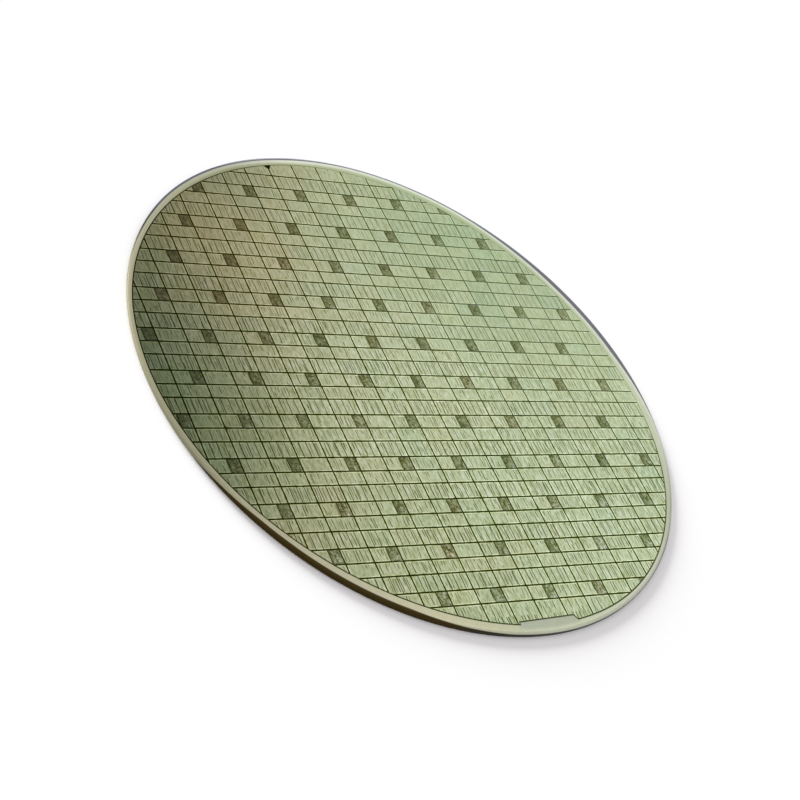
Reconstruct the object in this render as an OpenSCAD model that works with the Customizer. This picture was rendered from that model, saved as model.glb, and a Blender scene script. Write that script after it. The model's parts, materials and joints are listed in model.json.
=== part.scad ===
// A finished silicon wafer, as it leaves the production line and before it is sawn into chips.
//
// It is one disc of crystal, ground flat on its back and bevelled round its rim. Films have been
// grown on its polished face and etched into chips, with streets between them where the saw will
// run. Every second column holds a test site in each row, where only the bars of a test pattern
// are left. The films stop short of the rim, where a rinse has left their border a little uneven.
// They also leave a bare patch for the identity code, and a dark wedge beside the border gives the
// direction of the crystal.
//
// The back lies on z = 0, the axis of the disc is Z, and the chips face up. X runs along the
// rows of chips and Y across them, towards the wedge and away from the patch.

/* [Disc] */
// Diameter of the disc, from rim to rim
wafer_d = 300; // [200:1:360]
// Thickness of the crystal, without the films
wafer_t = 2.5; // [0.775:0.025:5]

/* [Rim] */
// How far each bevel reaches in from the rim
bevel_w = 1.6; // [0.3:0.05:1.8]
// Slope of each bevel against the flat face, in degrees
bevel_angle = 11; // [5:1:22]
// Radius that rounds each bevel into the upright rim, where the rim is high enough for it
nose_r = 0.3; // [0.05:0.05:0.5]

/* [Films] */
// Height of the films above the polished face
film_t = 0.08; // [0.02:0.01:0.3]
// Ring between the films and the rim that is kept bare, on average
bare_ring_w = 4.7; // [4:0.1:8]
// How far the films' middle is off to the right of the axis
films_x = -1.6; // [-1.6:0.1:1.6]
// How far it is off towards the top
films_y = -0.8; // [-1:0.1:1]
// How far the films' border bulges and dents twice round, which makes it oval
oval = 1.6; // [0:0.1:1.6]
// Direction of an oval bulge, in degrees from X
oval_angle = 143; // [0:1:180]
// How far it bulges and dents three times round
trefoil = 1.1; // [0:0.1:1.2]
// Direction of a bulge of the three, in degrees from X
trefoil_angle = 65; // [0:1:120]

/* [Grid] */
// Width of a column, from the middle of one street to the next
column_pitch = 15.62; // [12:0.01:30]
// Height of the first band of a row, which holds the test sites
site_band_h = 7.92; // [5:0.01:15]
// Height of the second band, of wide chips alone
wide_band_h = 7.72; // [5:0.01:15]
// Height of the third band, of narrow chips
narrow_band_h = 9.25; // [5:0.01:15]
// Narrow chips side by side in a column
narrow_chips = 4; // [2:1:6]
// How far the middle street between columns lies to the right of the axis
grid_x = 3.1; // [0:0.1:10]
// How far the top of the middle row lies above the axis
grid_y = 0.3; // [0:0.1:10]
// Films nearest the top and bottom of the border that no level street crosses
plain_end_h = 7; // [0:0.5:12]
// The same at the left and right, for the streets between columns
plain_side_w = 2.5; // [0:0.5:12]

/* [Streets] */
// Width of the streets between columns and between bands
street_w = 0.7; // [0.2:0.01:1.2]
// Width of the fine streets between narrow chips
fine_street_w = 0.4; // [0.1:0.01:0.6]

/* [Test sites] */
// Width of a test site, whose right side is a street's middle
site_w = 6.6; // [4:0.05:9]
// Columns from one test site to the next in its row
site_step = 2; // [2:1:4]
// Columns that the sites of a row are shifted against those of the row below
site_shift = 1; // [0:1:3]
// Upright bars of film that are left in a test site
site_bars = 3; // [2:1:4]
// Width of one such bar
site_bar_w = 0.8; // [0.3:0.05:1]
// Bare margin between a site's bars and its edges
site_margin = 0.7; // [0.3:0.05:1]

/* [Identity patch] */
// Length of the patch's upper edge
patch_w = 33; // [15:0.5:50]
// How far the middle of that edge lies to the right of the axis
patch_x = 5; // [-20:0.5:20]
// How far the patch's upper edge lies in from the rim, at the disc's bottom
patch_h = 7.8; // [5:0.1:15]
// Slope of the upper edge, which rises to the right, in degrees
patch_slope = 2.5; // [0:0.5:5]
// Length over which the right end curves down to the border
patch_shoulder_w = 3.5; // [1:0.5:6]
// Step cut out beside the patch's left end
patch_nick = 1.6; // [0.5:0.1:3]

/* [Direction mark] */
// Direction of the wedge as seen from the axis, in degrees from X
mark_angle = 101.3; // [60:0.1:120]
// Length of the wedge's outer side
mark_w = 4.8; // [2:0.1:8]
// How far the wedge points in from that side
mark_h = 2.6; // [1:0.1:5]
// Distance of the wedge's outer side from the rim
mark_inset = 5.6; // [4:0.1:10]
// Depth of the wedge below the polished face
mark_depth = 0.12; // [0.04:0.01:0.3]

/* [Hidden] */

$fn = 180;
// Straight pieces that a rounded corner of the rim is made of
NOSE_STEPS = 5;
// Straight pieces of the patch's curved shoulder
SHOULDER_STEPS = 8;
// How far a cut runs past what it cuts
OVER = 6;
// Straight pieces that the films' border is made of
BORDER_STEPS = 120;
// Flat crystal that is always left between the films and the bevel
FLAT_LEFT = 0.1;

wafer_r = wafer_d / 2;
film_r = wafer_r - bare_ring_w;
film_reach = film_r + oval + trefoil;
row_pitch = site_band_h + wide_band_h + narrow_band_h;
narrow_pitch = column_pitch / narrow_chips;
// Columns and rows to either side of the middle ones that can still reach the films
columns = ceil((film_reach + grid_x) / column_pitch);
rows = ceil((film_reach + grid_y) / row_pitch);

// Middle of the street on the right of column i
function street_x(i) = grid_x + i * column_pitch;

// Heights at which the three bands of row j begin
function site_top(j) = grid_y + j * row_pitch;
function wide_top(j) = site_top(j) - site_band_h;
function narrow_top(j) = wide_top(j) - wide_band_h;

// True where a street between columns, or a level street, crosses the films
function crosses_x(x) = abs(x - films_x) < film_r - plain_side_w;
function crosses_y(y) = abs(y - films_y) < film_r - plain_end_h;

// True where row j has a test site at the right of column i, between two streets at least
function has_site(i, j) =
    (i + site_shift * j) % site_step == 0 && crosses_x(street_x(i)) && crosses_y(wide_top(j));

// True where a box of the grid, given by its corners, reaches the films
function on_films(x1, x2, y1, y2) =
    norm([max(x1 - films_x, films_x - x2, 0), max(y1 - films_y, films_y - y2, 0)]) < film_reach;

// Point of the films' border in a direction from their middle. None lies on the bevel
function border_point(a) =
    let (
        r = film_r + oval * cos(2 * (a - oval_angle)) + trefoil * cos(3 * (a - trefoil_angle)),
        p = [films_x + r * cos(a), films_y + r * sin(a)]
    )
    p * min(1, (wafer_r - bevel_w - FLAT_LEFT) / norm(p));

// Points of an arc about a centre, from one direction to another
function arc(centre, r, from, to) =
    [for (k = [0 : NOSE_STEPS])
        let (a = from + (to - from) * k / NOSE_STEPS)
        centre + r * [cos(a), sin(a)]];

// Half of the disc's section: two flat faces, two bevels and an upright rim with rounded corners
module disc_section() {
    drop = bevel_w * tan(bevel_angle);
    upright = wafer_t - 2 * drop;
    r = min(nose_r, 0.45 * upright);
    // An arc that touches both the rim and the bevel has its centre this far below the bevel's end
    sink = r * (1 - sin(bevel_angle)) / cos(bevel_angle);
    polygon(concat(
        [[0, 0], [wafer_r - bevel_w, 0]],
        arc([wafer_r - r, drop + sink], r, bevel_angle - 90, 0),
        arc([wafer_r - r, wafer_t - drop - sink], r, 0, 90 - bevel_angle),
        [[wafer_r - bevel_w, wafer_t], [0, wafer_t]]
    ));
}

module column_streets() {
    for (i = [-columns : columns])
        if (crosses_x(street_x(i)))
            translate([street_x(i) - street_w / 2, -film_r - OVER])
                square([street_w, 2 * (film_r + OVER)]);
}

module band_streets() {
    for (j = [-rows : rows], y = [site_top(j), wide_top(j), narrow_top(j)])
        if (crosses_y(y))
            translate([-film_r - OVER, y - street_w / 2])
                square([2 * (film_r + OVER), street_w]);
}

module fine_streets() {
    for (j = [-rows : rows], i = [-columns : columns], k = [1 : narrow_chips - 1]) {
        x = street_x(i) - k * narrow_pitch;
        y = narrow_top(j) - narrow_band_h;
        if (on_films(x, x, y, y + narrow_band_h))
            translate([x - fine_street_w / 2, y])
                square([fine_street_w, narrow_band_h]);
    }
}

// What is etched away in one test site: all of it but its bars. Its top right corner is at 0, 0
module test_site() {
    bar_pitch = (site_w - 2 * site_margin - site_bar_w) / (site_bars - 1);
    difference() {
        translate([-site_w, -site_band_h])
            square([site_w, site_band_h]);
        for (k = [0 : site_bars - 1])
            translate([site_margin - site_w + k * bar_pitch, site_margin - site_band_h])
                square([site_bar_w, site_band_h - 2 * site_margin]);
    }
}

module test_sites() {
    for (j = [-rows : rows], i = [-columns : columns])
        if (has_site(i, j)
            && on_films(street_x(i) - site_w, street_x(i), wide_top(j), site_top(j)))
            translate([street_x(i), site_top(j)])
                test_site();
}

// Bare patch at the bottom: a sloping upper edge, a nick at its left and a curved right shoulder
module identity_patch() {
    rise = patch_w * tan(patch_slope);
    edge = patch_h - bare_ring_w;
    translate([patch_x, patch_h - wafer_r])
        polygon(concat(
            [
                [-patch_w / 2 - patch_nick, -edge - patch_nick],
                [-patch_w / 2 - patch_nick, -rise / 2 - patch_nick],
                [-patch_w / 2, -rise / 2 - patch_nick],
                [-patch_w / 2, -rise / 2],
            ],
            [for (k = [0 : SHOULDER_STEPS])
                [
                    patch_w / 2 + patch_shoulder_w * k / SHOULDER_STEPS,
                    rise / 2 - (edge / 2) * (1 - cos(180 * k / SHOULDER_STEPS)),
                ]],
            [[patch_w / 2 + patch_shoulder_w, -edge - patch_nick]]
        ));
}

// Outline of the wedge, with its outer side away from the axis
module direction_mark() {
    rotate(mark_angle)
        translate([wafer_r - mark_inset, 0])
            polygon([[0, -mark_w / 2], [0, mark_w / 2], [-mark_h, mark_w / 8], [-mark_h, -mark_w / 8]]);
}

module crystal() {
    color("#c6c29e")
        difference() {
            rotate_extrude()
                disc_section();
            translate([0, 0, wafer_t - mark_depth])
                linear_extrude(mark_depth + OVER)
                    direction_mark();
        }
}

module films() {
    color("#a5b083")
        translate([0, 0, wafer_t])
            linear_extrude(film_t)
                difference() {
                    polygon([for (k = [1 : BORDER_STEPS]) border_point(360 * k / BORDER_STEPS)]);
                    column_streets();
                    band_streets();
                    fine_streets();
                    test_sites();
                    identity_patch();
                    direction_mark();
                }
}

module wafer() {
    crystal();
    films();
}

wafer();
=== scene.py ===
# %% [markdown]
# # A patterned silicon wafer
# A wafer is a thin disc sawn from one crystal of silicon, ground flat and polished. Films of
# oxide and metal are grown on it and etched into hundreds of chips. Nothing on it can be taken
# apart, so it is one piece here too. What makes it worth modelling is the pattern: streets, chips
# and test sites, all standing a few thousandths of a millimetre proud of the crystal. The whole
# pattern is drawn flat first, then cut up and raised, and the rim is added round it.

import json
import math
import random

import bpy
from mathutils import Matrix, Vector
from mathutils.geometry import delaunay_2d_cdt


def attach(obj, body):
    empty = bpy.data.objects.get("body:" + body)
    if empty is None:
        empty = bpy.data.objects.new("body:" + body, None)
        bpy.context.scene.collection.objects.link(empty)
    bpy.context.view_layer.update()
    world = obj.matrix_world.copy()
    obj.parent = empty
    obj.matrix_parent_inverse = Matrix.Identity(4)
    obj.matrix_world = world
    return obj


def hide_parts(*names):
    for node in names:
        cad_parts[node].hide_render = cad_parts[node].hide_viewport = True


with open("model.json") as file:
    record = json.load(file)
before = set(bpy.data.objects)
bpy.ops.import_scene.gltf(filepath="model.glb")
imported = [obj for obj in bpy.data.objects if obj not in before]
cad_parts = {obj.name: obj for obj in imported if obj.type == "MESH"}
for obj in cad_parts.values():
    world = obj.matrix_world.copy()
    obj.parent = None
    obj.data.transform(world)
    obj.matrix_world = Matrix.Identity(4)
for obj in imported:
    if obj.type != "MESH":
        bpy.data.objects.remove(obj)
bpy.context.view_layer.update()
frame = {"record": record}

# %% [markdown]
# ## The camera
# A disc this thin can't stand by itself, so it lies on its back and the camera looks down on it.
# The camera is turned about its own line of sight as well, so that the disc leans across the
# picture from upper left to lower right. A long lens keeps the far side nearly as large as the
# near one.

# %% Place the camera
CAMERA_AT = Vector((-0.5514, -0.4573, 0.5339))
CAMERA_RIGHT = Vector((0.79095, -0.38246, 0.47763))
CAMERA_UP = Vector((-0.00900, 0.77323, 0.63406))
LENS_MM = 82.26

camera_data = bpy.data.cameras.new("camera")
camera_data.lens = LENS_MM
camera_data.clip_start = 0.01
camera = bpy.data.objects.new("camera", camera_data)
bpy.context.scene.collection.objects.link(camera)
across = CAMERA_RIGHT.normalized()
backward = across.cross(CAMERA_UP).normalized()
upward = backward.cross(across)
facing = Matrix((across, upward, backward)).transposed().to_4x4()
camera.matrix_world = Matrix.Translation(CAMERA_AT) @ facing
bpy.context.scene.camera = camera
print("camera stands", round(CAMERA_AT.length, 3), "m from the disc's axis point")

# %% [markdown]
# ## Sizes
# The disc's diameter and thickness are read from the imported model. Its round outline is made of
# short straight pieces there, so the diameter comes out a hair short and is rounded. The
# pattern's sizes are those of the construction, in millimetres, and all else follows from them.
# The films are drawn far higher than real ones, so that the streets still show as grooves.

# %% Sizes of the disc and its pattern
MM = 0.001
side_x, side_y, total_t = (side / MM for side in frame["record"]["size"]["bbox_m"])
wafer_d = round(max(side_x, side_y))

BEVEL_W = 1.6
BEVEL_ANGLE = math.radians(11)
NOSE_R = 0.3
FILM_T = 0.08
BARE_RING_W = 4.7
FILMS_X = -1.6
FILMS_Y = -0.8
OVAL = 1.6
OVAL_ANGLE = math.radians(143)
TREFOIL = 1.1
TREFOIL_ANGLE = math.radians(65)
FLAT_LEFT = 0.1

COLUMN_PITCH = 15.62
SITE_BAND_H = 7.92
WIDE_BAND_H = 7.72
NARROW_BAND_H = 9.25
NARROW_CHIPS = 4
GRID_X = 3.1
GRID_Y = 0.3
PLAIN_END_H = 7
PLAIN_SIDE_W = 2.5

STREET_W = 0.7
FINE_STREET_W = 0.4

wafer_r = wafer_d / 2
wafer_t = total_t - FILM_T
film_r = wafer_r - BARE_RING_W
film_reach = film_r + OVAL + TREFOIL
flat_r = wafer_r - BEVEL_W
row_pitch = SITE_BAND_H + WIDE_BAND_H + NARROW_BAND_H
narrow_pitch = COLUMN_PITCH / NARROW_CHIPS
columns = math.ceil((film_reach + GRID_X) / COLUMN_PITCH)
rows = math.ceil((film_reach + GRID_Y) / row_pitch)
print(f"disc {wafer_d:.1f} x {wafer_t:.2f} mm, {2 * columns + 1} columns, {2 * rows + 1} rows")

# %% [markdown]
# ## The plan
# A wafer's pattern is drawn as flat shapes, layer over layer, just as the masks that print it
# are. They could be modelled as thousands of small blocks, but those would have to be joined. So
# one list holds every outline with the name of its layer. Outlines may overlap freely, because
# they are only cut against each other later, all at once. Each layer has a height above the
# polished crystal and a finish, and where layers overlap the one further down the table wins.

# %% Layers, from the lowest to the one that wins
MARK_DEPTH = 0.12
LAYERS = {
    "crystal": (0, "bare crystal"),
    "plain films": (FILM_T, "plain films"),
    "site chips": (FILM_T, "site chips"),
    "wide chips": (FILM_T, "wide chips"),
    "narrow chips": (FILM_T, "narrow chips"),
    "guard ring": (FILM_T, "guard ring"),
    "street side": (FILM_T, "street side"),
    "test floor": (0, "test floor"),
    "site edge": (0, "site edge"),
    "test pad": (FILM_T / 2, "test pad"),
    "test bar": (FILM_T, "test bar"),
    "fine street": (0, "fine street"),
    "street": (0, "street"),
    "border": (FILM_T / 2, "border"),
    "patch": (0, "bare crystal"),
    "patch edge": (FILM_T / 2, "border"),
    "mark": (-MARK_DEPTH, "mark"),
}
plan = []


def lay(layer, outline):
    """Adds an outline to a layer: (x, y) in millimetres, listed anticlockwise."""
    plan.append((layer, outline))


def box_outline(x1, y1, x2, y2):
    return [(x1, y1), (x2, y1), (x2, y2), (x1, y2)]


def circle(r, steps):
    turns = [2 * math.pi * k / steps for k in range(steps)]
    return [(r * math.cos(a), r * math.sin(a)) for a in turns]


def border(steps, inset=0.0):
    """The films' border, which bulges a little, or a line that lies this far inside it."""
    made = []
    for k in range(steps):
        a = 2 * math.pi * k / steps
        bulge = OVAL * math.cos(2 * (a - OVAL_ANGLE)) + TREFOIL * math.cos(3 * (a - TREFOIL_ANGLE))
        r = film_r + bulge - inset
        spot = Vector((FILMS_X + r * math.cos(a), FILMS_Y + r * math.sin(a)))
        made.append(tuple(spot * min(1, (flat_r - FLAT_LEFT - inset) / spot.length)))
    return made


def on_films(x1, y1, x2, y2):
    """True where a box of the grid reaches the films."""
    off_x = max(x1 - FILMS_X, FILMS_X - x2, 0)
    off_y = max(y1 - FILMS_Y, FILMS_Y - y2, 0)
    return math.hypot(off_x, off_y) < film_reach


RIM_STEPS = 360
lay("crystal", circle(flat_r, RIM_STEPS))
lay("plain films", border(RIM_STEPS))
print(len(LAYERS), "layers, and", len(plan), "round outlines laid")

# %% [markdown]
# ## Streets
# The streets are the strips where the saw will run. No film is left in them, so they read as dark
# lines. Streets between columns run from border to border. A row has three bands, and a street
# lies on top of each. Every chip has a guard ring, a fence of metal along its edge that stops
# cracks. It shows as a pale line beside the street, with a thin dim strip between the two. Three
# strips of growing width, one below the other, give all that without an outline for each chip.

# %% Where the streets lie
GUARD_W = 0.5
STREET_SIDE_W = 0.12


def street_x(i):
    return GRID_X + i * COLUMN_PITCH


def site_top(j):
    return GRID_Y + j * row_pitch


def wide_top(j):
    return site_top(j) - SITE_BAND_H


def narrow_top(j):
    return wide_top(j) - WIDE_BAND_H


def crosses_x(x):
    """True for a street between columns. None lies too near the films' left and right ends."""
    return abs(x - FILMS_X) < film_r - PLAIN_SIDE_W


def crosses_y(y):
    """True for a level street. None lies too near the films' top and bottom ends."""
    return abs(y - FILMS_Y) < film_r - PLAIN_END_H


def chord(offset):
    """Half the length of a street this far from the films' middle, with a little to spare."""
    return math.sqrt(film_reach**2 - offset**2) + STREET_W


print(f"middle street at x = {street_x(0)} mm, and rows {row_pitch:.2f} mm apart")

# %% Streets between columns and bands
STREET_LAYERS = (
    ("guard ring", STREET_W / 2 + STREET_SIDE_W + GUARD_W),
    ("street side", STREET_W / 2 + STREET_SIDE_W),
    ("street", STREET_W / 2),
)

for x in filter(crosses_x, map(street_x, range(-columns, columns + 1))):
    reach = chord(x - FILMS_X)
    for layer, half in STREET_LAYERS:
        lay(layer, box_outline(x - half, FILMS_Y - reach, x + half, FILMS_Y + reach))

for j in range(-rows, rows + 1):
    for y in filter(crosses_y, (site_top(j), wide_top(j), narrow_top(j))):
        reach = chord(y - FILMS_Y)
        for layer, half in STREET_LAYERS:
            lay(layer, box_outline(FILMS_X - reach, y - half, FILMS_X + reach, y + half))

print(len(plan) - 2, "outlines of main streets and guard rings")

# %% [markdown]
# ## Chips
# A row's two upper bands hold wide chips, one for each column. The lowest band is cut into narrow
# chips by fine streets, which reach from one level street to the next. A band is laid in one
# piece from rim to rim, because the streets above it divide it and nothing shows off the films.

# %% Lay every row's bands
for j in range(-rows, rows + 1):
    for top, height, layer in (
        (site_top(j), SITE_BAND_H, "site chips"),
        (wide_top(j), WIDE_BAND_H, "wide chips"),
        (narrow_top(j), NARROW_BAND_H, "narrow chips"),
    ):
        if on_films(FILMS_X, top - height, FILMS_X, top):
            lay(layer, box_outline(-wafer_r, top - height, wafer_r, top))
print(len(plan), "outlines with the bands")

# %% Fine streets between narrow chips
for j in range(-rows, rows + 1):
    top = narrow_top(j)
    for i in range(-columns, columns + 1):
        for k in range(1, NARROW_CHIPS):
            x = street_x(i) - k * narrow_pitch
            if on_films(x, top - NARROW_BAND_H, x, top):
                half = FINE_STREET_W / 2
                lay("fine street", box_outline(x - half, top - NARROW_BAND_H, x + half, top))

print(len(plan), "outlines in the plan")

# %% [markdown]
# ## Test sites
# Every second column holds a test site in each row, shifted by one column from row to row. It has no chip,
# only a dark floor with patterns to measure: three upright bars, a few cross bars between them and small
# square pads for the probes. Its left edge is the darkest part of it, and that and the dimmer top are
# painted shade. Each site's patterns differ a little, so they are drawn by lot, with a fixed seed that makes
# them come out the same every time.

# %% Draw the test sites
SITE_W = 6.6
SITE_STEP = 2
SITE_SHIFT = 1
SITE_BARS = 3
SITE_BAR_W = 0.8
SITE_MARGIN = 0.7
SITE_SHADE_W = 0.6
PAD_W = 0.55
PAD_PITCH = 1.9 * PAD_W
PAD_SHARE = 0.45
CROSS_BAR_H = 0.4
CROSS_BAR_SHARE = 0.25
bar_pitch = (SITE_W - 2 * SITE_MARGIN - SITE_BAR_W) / (SITE_BARS - 1)


def has_site(i, j):
    """True where a row has a site at the right of column i, which needs its two streets."""
    return (i + SITE_SHIFT * j) % SITE_STEP == 0 and crosses_x(street_x(i)) and crosses_y(wide_top(j))


draw = random.Random(12)


def lay_site(right, top):
    """One test site, with its top right corner at a street's crossing."""
    left = right - SITE_W
    foot = top - SITE_BAND_H
    lay("test floor", box_outline(left, foot, right, top))
    # A strip of painted shade along the site's left edge
    lay("site edge", box_outline(left, foot, left + SITE_SHADE_W, top))
    for k in range(SITE_BARS):
        x = left + SITE_MARGIN + k * bar_pitch
        lay("test bar", box_outline(x, foot + SITE_MARGIN, x + SITE_BAR_W, top - SITE_MARGIN))
    for k in range(SITE_BARS - 1):
        x1 = left + SITE_MARGIN + SITE_BAR_W + k * bar_pitch
        x2 = x1 + bar_pitch - SITE_BAR_W
        y = foot + SITE_MARGIN
        while y < top - SITE_MARGIN - PAD_W:
            kind = draw.random()
            if kind < CROSS_BAR_SHARE:
                lay("test bar", box_outline(x1, y, x2, y + CROSS_BAR_H))
            elif kind < CROSS_BAR_SHARE + PAD_SHARE:
                middle = (x1 + x2) / 2
                lay("test pad", box_outline(middle - PAD_W / 2, y, middle + PAD_W / 2, y + PAD_W))
            y += PAD_PITCH


sites = 0
for j in range(-rows, rows + 1):
    for i in range(-columns, columns + 1):
        right = street_x(i)
        top = site_top(j)
        if has_site(i, j) and on_films(right - SITE_W, top - SITE_BAND_H, right, top):
            lay_site(right, top)
            sites += 1
print(sites, "test sites")

# %% [markdown]
# ## Border, identity patch and direction mark
# Films are stripped from the edge, and the resist leaves a thin dark line where they end. The line is darker
# on the near side, and that part is painted shade. At the bottom they also leave a bare patch, with a
# sloping upper edge, for the wafer's identity code. The line turns in and follows that edge, and the patch
# runs into the bare ring without one. Near the top a small dark wedge is etched into the crystal and gives
# its direction.

# %% The dark line where the films end
BORDER_W = 0.6
lay("inner films", border(RIM_STEPS, BORDER_W))


def lay_line(points, width):
    """The line along the patch, as one strip for each straight piece of its edge."""
    for first, last in zip(points, points[1:]):
        along = (Vector(last) - Vector(first)).normalized() * width / 2
        aside = Vector((-along.y, along.x))
        start = Vector(first) - along
        end = Vector(last) + along
        corners = (start - aside, end - aside, end + aside, start + aside)
        lay("patch edge", [tuple(corner) for corner in corners])


print("the line round the films is", BORDER_W, "mm wide")

# %% The identity patch
PATCH_W = 33
PATCH_X = 5
PATCH_H = 7.8
PATCH_SLOPE = math.radians(2.5)
PATCH_SHOULDER_W = 3.5
PATCH_NICK = 1.6
SHOULDER_STEPS = 8

rise = PATCH_W * math.tan(PATCH_SLOPE)
edge = PATCH_H - BARE_RING_W
shoulder = [
    (
        PATCH_W / 2 + PATCH_SHOULDER_W * k / SHOULDER_STEPS,
        rise / 2 - (edge / 2) * (1 - math.cos(math.pi * k / SHOULDER_STEPS)),
    )
    for k in range(SHOULDER_STEPS + 1)
]
patch = [
    (-PATCH_W / 2 - PATCH_NICK, -edge - PATCH_NICK),
    (-PATCH_W / 2 - PATCH_NICK, -rise / 2 - PATCH_NICK),
    (-PATCH_W / 2, -rise / 2 - PATCH_NICK),
    (-PATCH_W / 2, -rise / 2),
    *shoulder,
    (PATCH_W / 2 + PATCH_SHOULDER_W, -edge - PATCH_NICK),
]
patch = [(x + PATCH_X, y + PATCH_H - wafer_r) for x, y in reversed(patch)]
lay("patch", patch)
lay_line(patch, BORDER_W)
print(f"patch {max(patch)[0] - min(patch)[0]:.1f} mm long, with {len(patch)} corners")

# %% The direction mark
MARK_ANGLE = math.radians(101.3)
MARK_W = 4.8
MARK_TIP_W = MARK_W / 4
MARK_H = 2.6
MARK_INSET = 5.6

wedge = [(0, -MARK_W / 2), (0, MARK_W / 2), (-MARK_H, MARK_TIP_W / 2), (-MARK_H, -MARK_TIP_W / 2)]
turn = Matrix.Rotation(MARK_ANGLE, 2)
out = turn @ Vector((wafer_r - MARK_INSET, 0))
lay("mark", [tuple(turn @ Vector(point) + out) for point in wedge])
print(len(plan), "outlines in the whole plan")

# %% [markdown]
# ## Cutting the plan
# A constrained Delaunay triangulation takes all outlines at once, cuts them where they cross and
# fills everything with triangles. It also says which outlines each triangle lies in, so the
# triangle's layer is the topmost of those. Doing this by boolean operations on thousands of small
# blocks would take minutes, and this takes a part of a second.

# %% Cut the plan into triangles
CUT_EPSILON = 1e-5
INSIDE_ONLY = 1

points = []
faces = []
for _, outline in plan:
    faces.append(list(range(len(points), len(points) + len(outline))))
    points += [Vector(point) for point in outline]
spots, _, cut, _, _, outlines = delaunay_2d_cdt(points, [], faces, INSIDE_ONLY, CUT_EPSILON, True)
print(len(spots), "points,", len(cut), "triangles")

# %% Give each triangle its layer
order = {layer: k for k, layer in enumerate(LAYERS)}


def layer_of(found):
    """The topmost of the layers that a triangle lies in. Off the films there is only crystal, and
    what lies on the films but not on the inner ones is the dark line at their border."""
    if "crystal" not in found:
        return None
    if "plain films" not in found:
        return "crystal"
    if "inner films" not in found:
        found.add("border")
    found.discard("inner films")
    return max(found, key=order.get)


triangles = []
layers = []
for corners, inside in zip(cut, outlines):
    layer = layer_of({plan[k][0] for k in inside})
    if layer:
        triangles.append(corners)
        layers.append(layer)
for layer in LAYERS:
    print(f"{layer:>14}: {layers.count(layer)} triangles")

# %% [markdown]
# ## Raising the relief
# Every triangle is lifted to its layer's height, and a step between two heights becomes a small
# upright wall. Where three heights meet at one point, the walls there share a point at each
# height, so the surface stays closed. The rim is then made of rings round the disc, from the
# upper bevel over the rounded nose to the lower bevel, and one flat face closes the back.

# %% Collect the disc's points and faces
mesh_points = []
mesh_faces = []
mesh_finish = []
point_at = {}


def point(spot, height):
    """The index of the mesh point over a spot of the plan, at a height above the crystal."""
    if (spot, height) not in point_at:
        point_at[spot, height] = len(mesh_points)
        x, y = spots[spot]
        mesh_points.append((x * MM, y * MM, (wafer_t + height) * MM))
    return point_at[spot, height]


def add_face(corners, finish):
    mesh_faces.append(corners)
    mesh_finish.append(finish)


heights = [LAYERS[layer][0] for layer in layers]
beside = {}
heights_at = {}
for index, corners in enumerate(triangles):
    add_face([point(spot, heights[index]) for spot in corners], LAYERS[layers[index]][1])
    for k in range(3):
        beside[corners[k], corners[(k + 1) % 3]] = index
        heights_at.setdefault(corners[k], set()).add(heights[index])
print(len(mesh_faces), "faces at heights of", sorted(set(heights)), "mm")

# %% Walls between heights
WALL_FINISH = "wall"


def column_of(spot, low, high):
    """Points over a spot from one height up to another, with the heights in use between."""
    return [point(spot, h) for h in sorted(heights_at[spot]) if low <= h <= high]


walls = 0
outer_edges = []
for (a, b), index in beside.items():
    other = beside.get((b, a))
    if other is None:
        outer_edges.append((a, b))
        continue
    low = heights[other]
    high = heights[index]
    if high > low:
        add_face(column_of(a, low, high)[::-1] + column_of(b, low, high), WALL_FINISH)
        walls += 1
print(walls, "walls,", len(outer_edges), "edges round the flat face")

# %% The rim's section, from the upper bevel's start to the lower bevel's end
NOSE_STEPS = 6
NOSE_LIMIT = 0.45
drop = BEVEL_W * math.tan(BEVEL_ANGLE)
upright = wafer_t - 2 * drop
nose_r = min(NOSE_R, NOSE_LIMIT * upright)
sink = nose_r * (1 - math.sin(BEVEL_ANGLE)) / math.cos(BEVEL_ANGLE)


def arc(centre_z, start, end):
    """A rounded corner of the section, as (radius, height), between two directions."""
    turns = [start + (end - start) * k / NOSE_STEPS for k in range(NOSE_STEPS + 1)]
    return [(wafer_r - nose_r + nose_r * math.cos(a), centre_z + nose_r * math.sin(a)) for a in turns]


quarter = math.pi / 2
section = arc(wafer_t - drop - sink, quarter - BEVEL_ANGLE, 0)
section += arc(drop + sink, 0, BEVEL_ANGLE - quarter)
section.append((flat_r, 0))
print("rim section:", [(round(r, 2), round(z, 2)) for r, z in section[:: NOSE_STEPS]])

# %% Rings round the disc, and the back
ring = [a for a, _ in sorted(outer_edges, key=lambda ab: math.atan2(spots[ab[0]].y, spots[ab[0]].x))]
turns = [math.atan2(spots[a].y, spots[a].x) for a in ring]
rings = [[point(a, 0) for a in ring]]
for r, z in section:
    start = len(mesh_points)
    mesh_points += [(r * math.cos(t) * MM, r * math.sin(t) * MM, z * MM) for t in turns]
    rings.append(list(range(start, start + len(turns))))

first_rim_face = len(mesh_faces)
for upper, lower in zip(rings, rings[1:]):
    for k in range(len(turns)):
        n = (k + 1) % len(turns)
        add_face([upper[n], upper[k], lower[k], lower[n]], "rim")
first_back_face = len(mesh_faces)
add_face(rings[-1][::-1], "back")
print(len(mesh_points), "points,", len(mesh_faces), "faces")

# %% [markdown]
# ## Colours
# The films are so thin that light itself colours them, and the colour drifts over the disc as their
# thickness does: sage green over most of it, tan at the top left and a cool mint at the top right. The
# colour is deeper at one side, and that is painted shade. Colour and shade are one node group, which every
# finish of the pattern starts from. Three smaller groups serve it: where a point lies, a soft round patch of
# the disc, and luck that differs from chip to chip. Colours are written the way a colour picker shows them,
# from 0 to 255, and turned into the linear values that the nodes expect.

# %% Helpers for colours and single nodes
def colour(red, green, blue):
    """A picked colour as a linear one, with alpha."""
    shares = [value / 255 for value in (red, green, blue)]
    return (*(s / 12.92 if s <= 0.04045 else ((s + 0.055) / 1.055) ** 2.4 for s in shares), 1)


def grey(value):
    return (value, value, value, 1)


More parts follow.
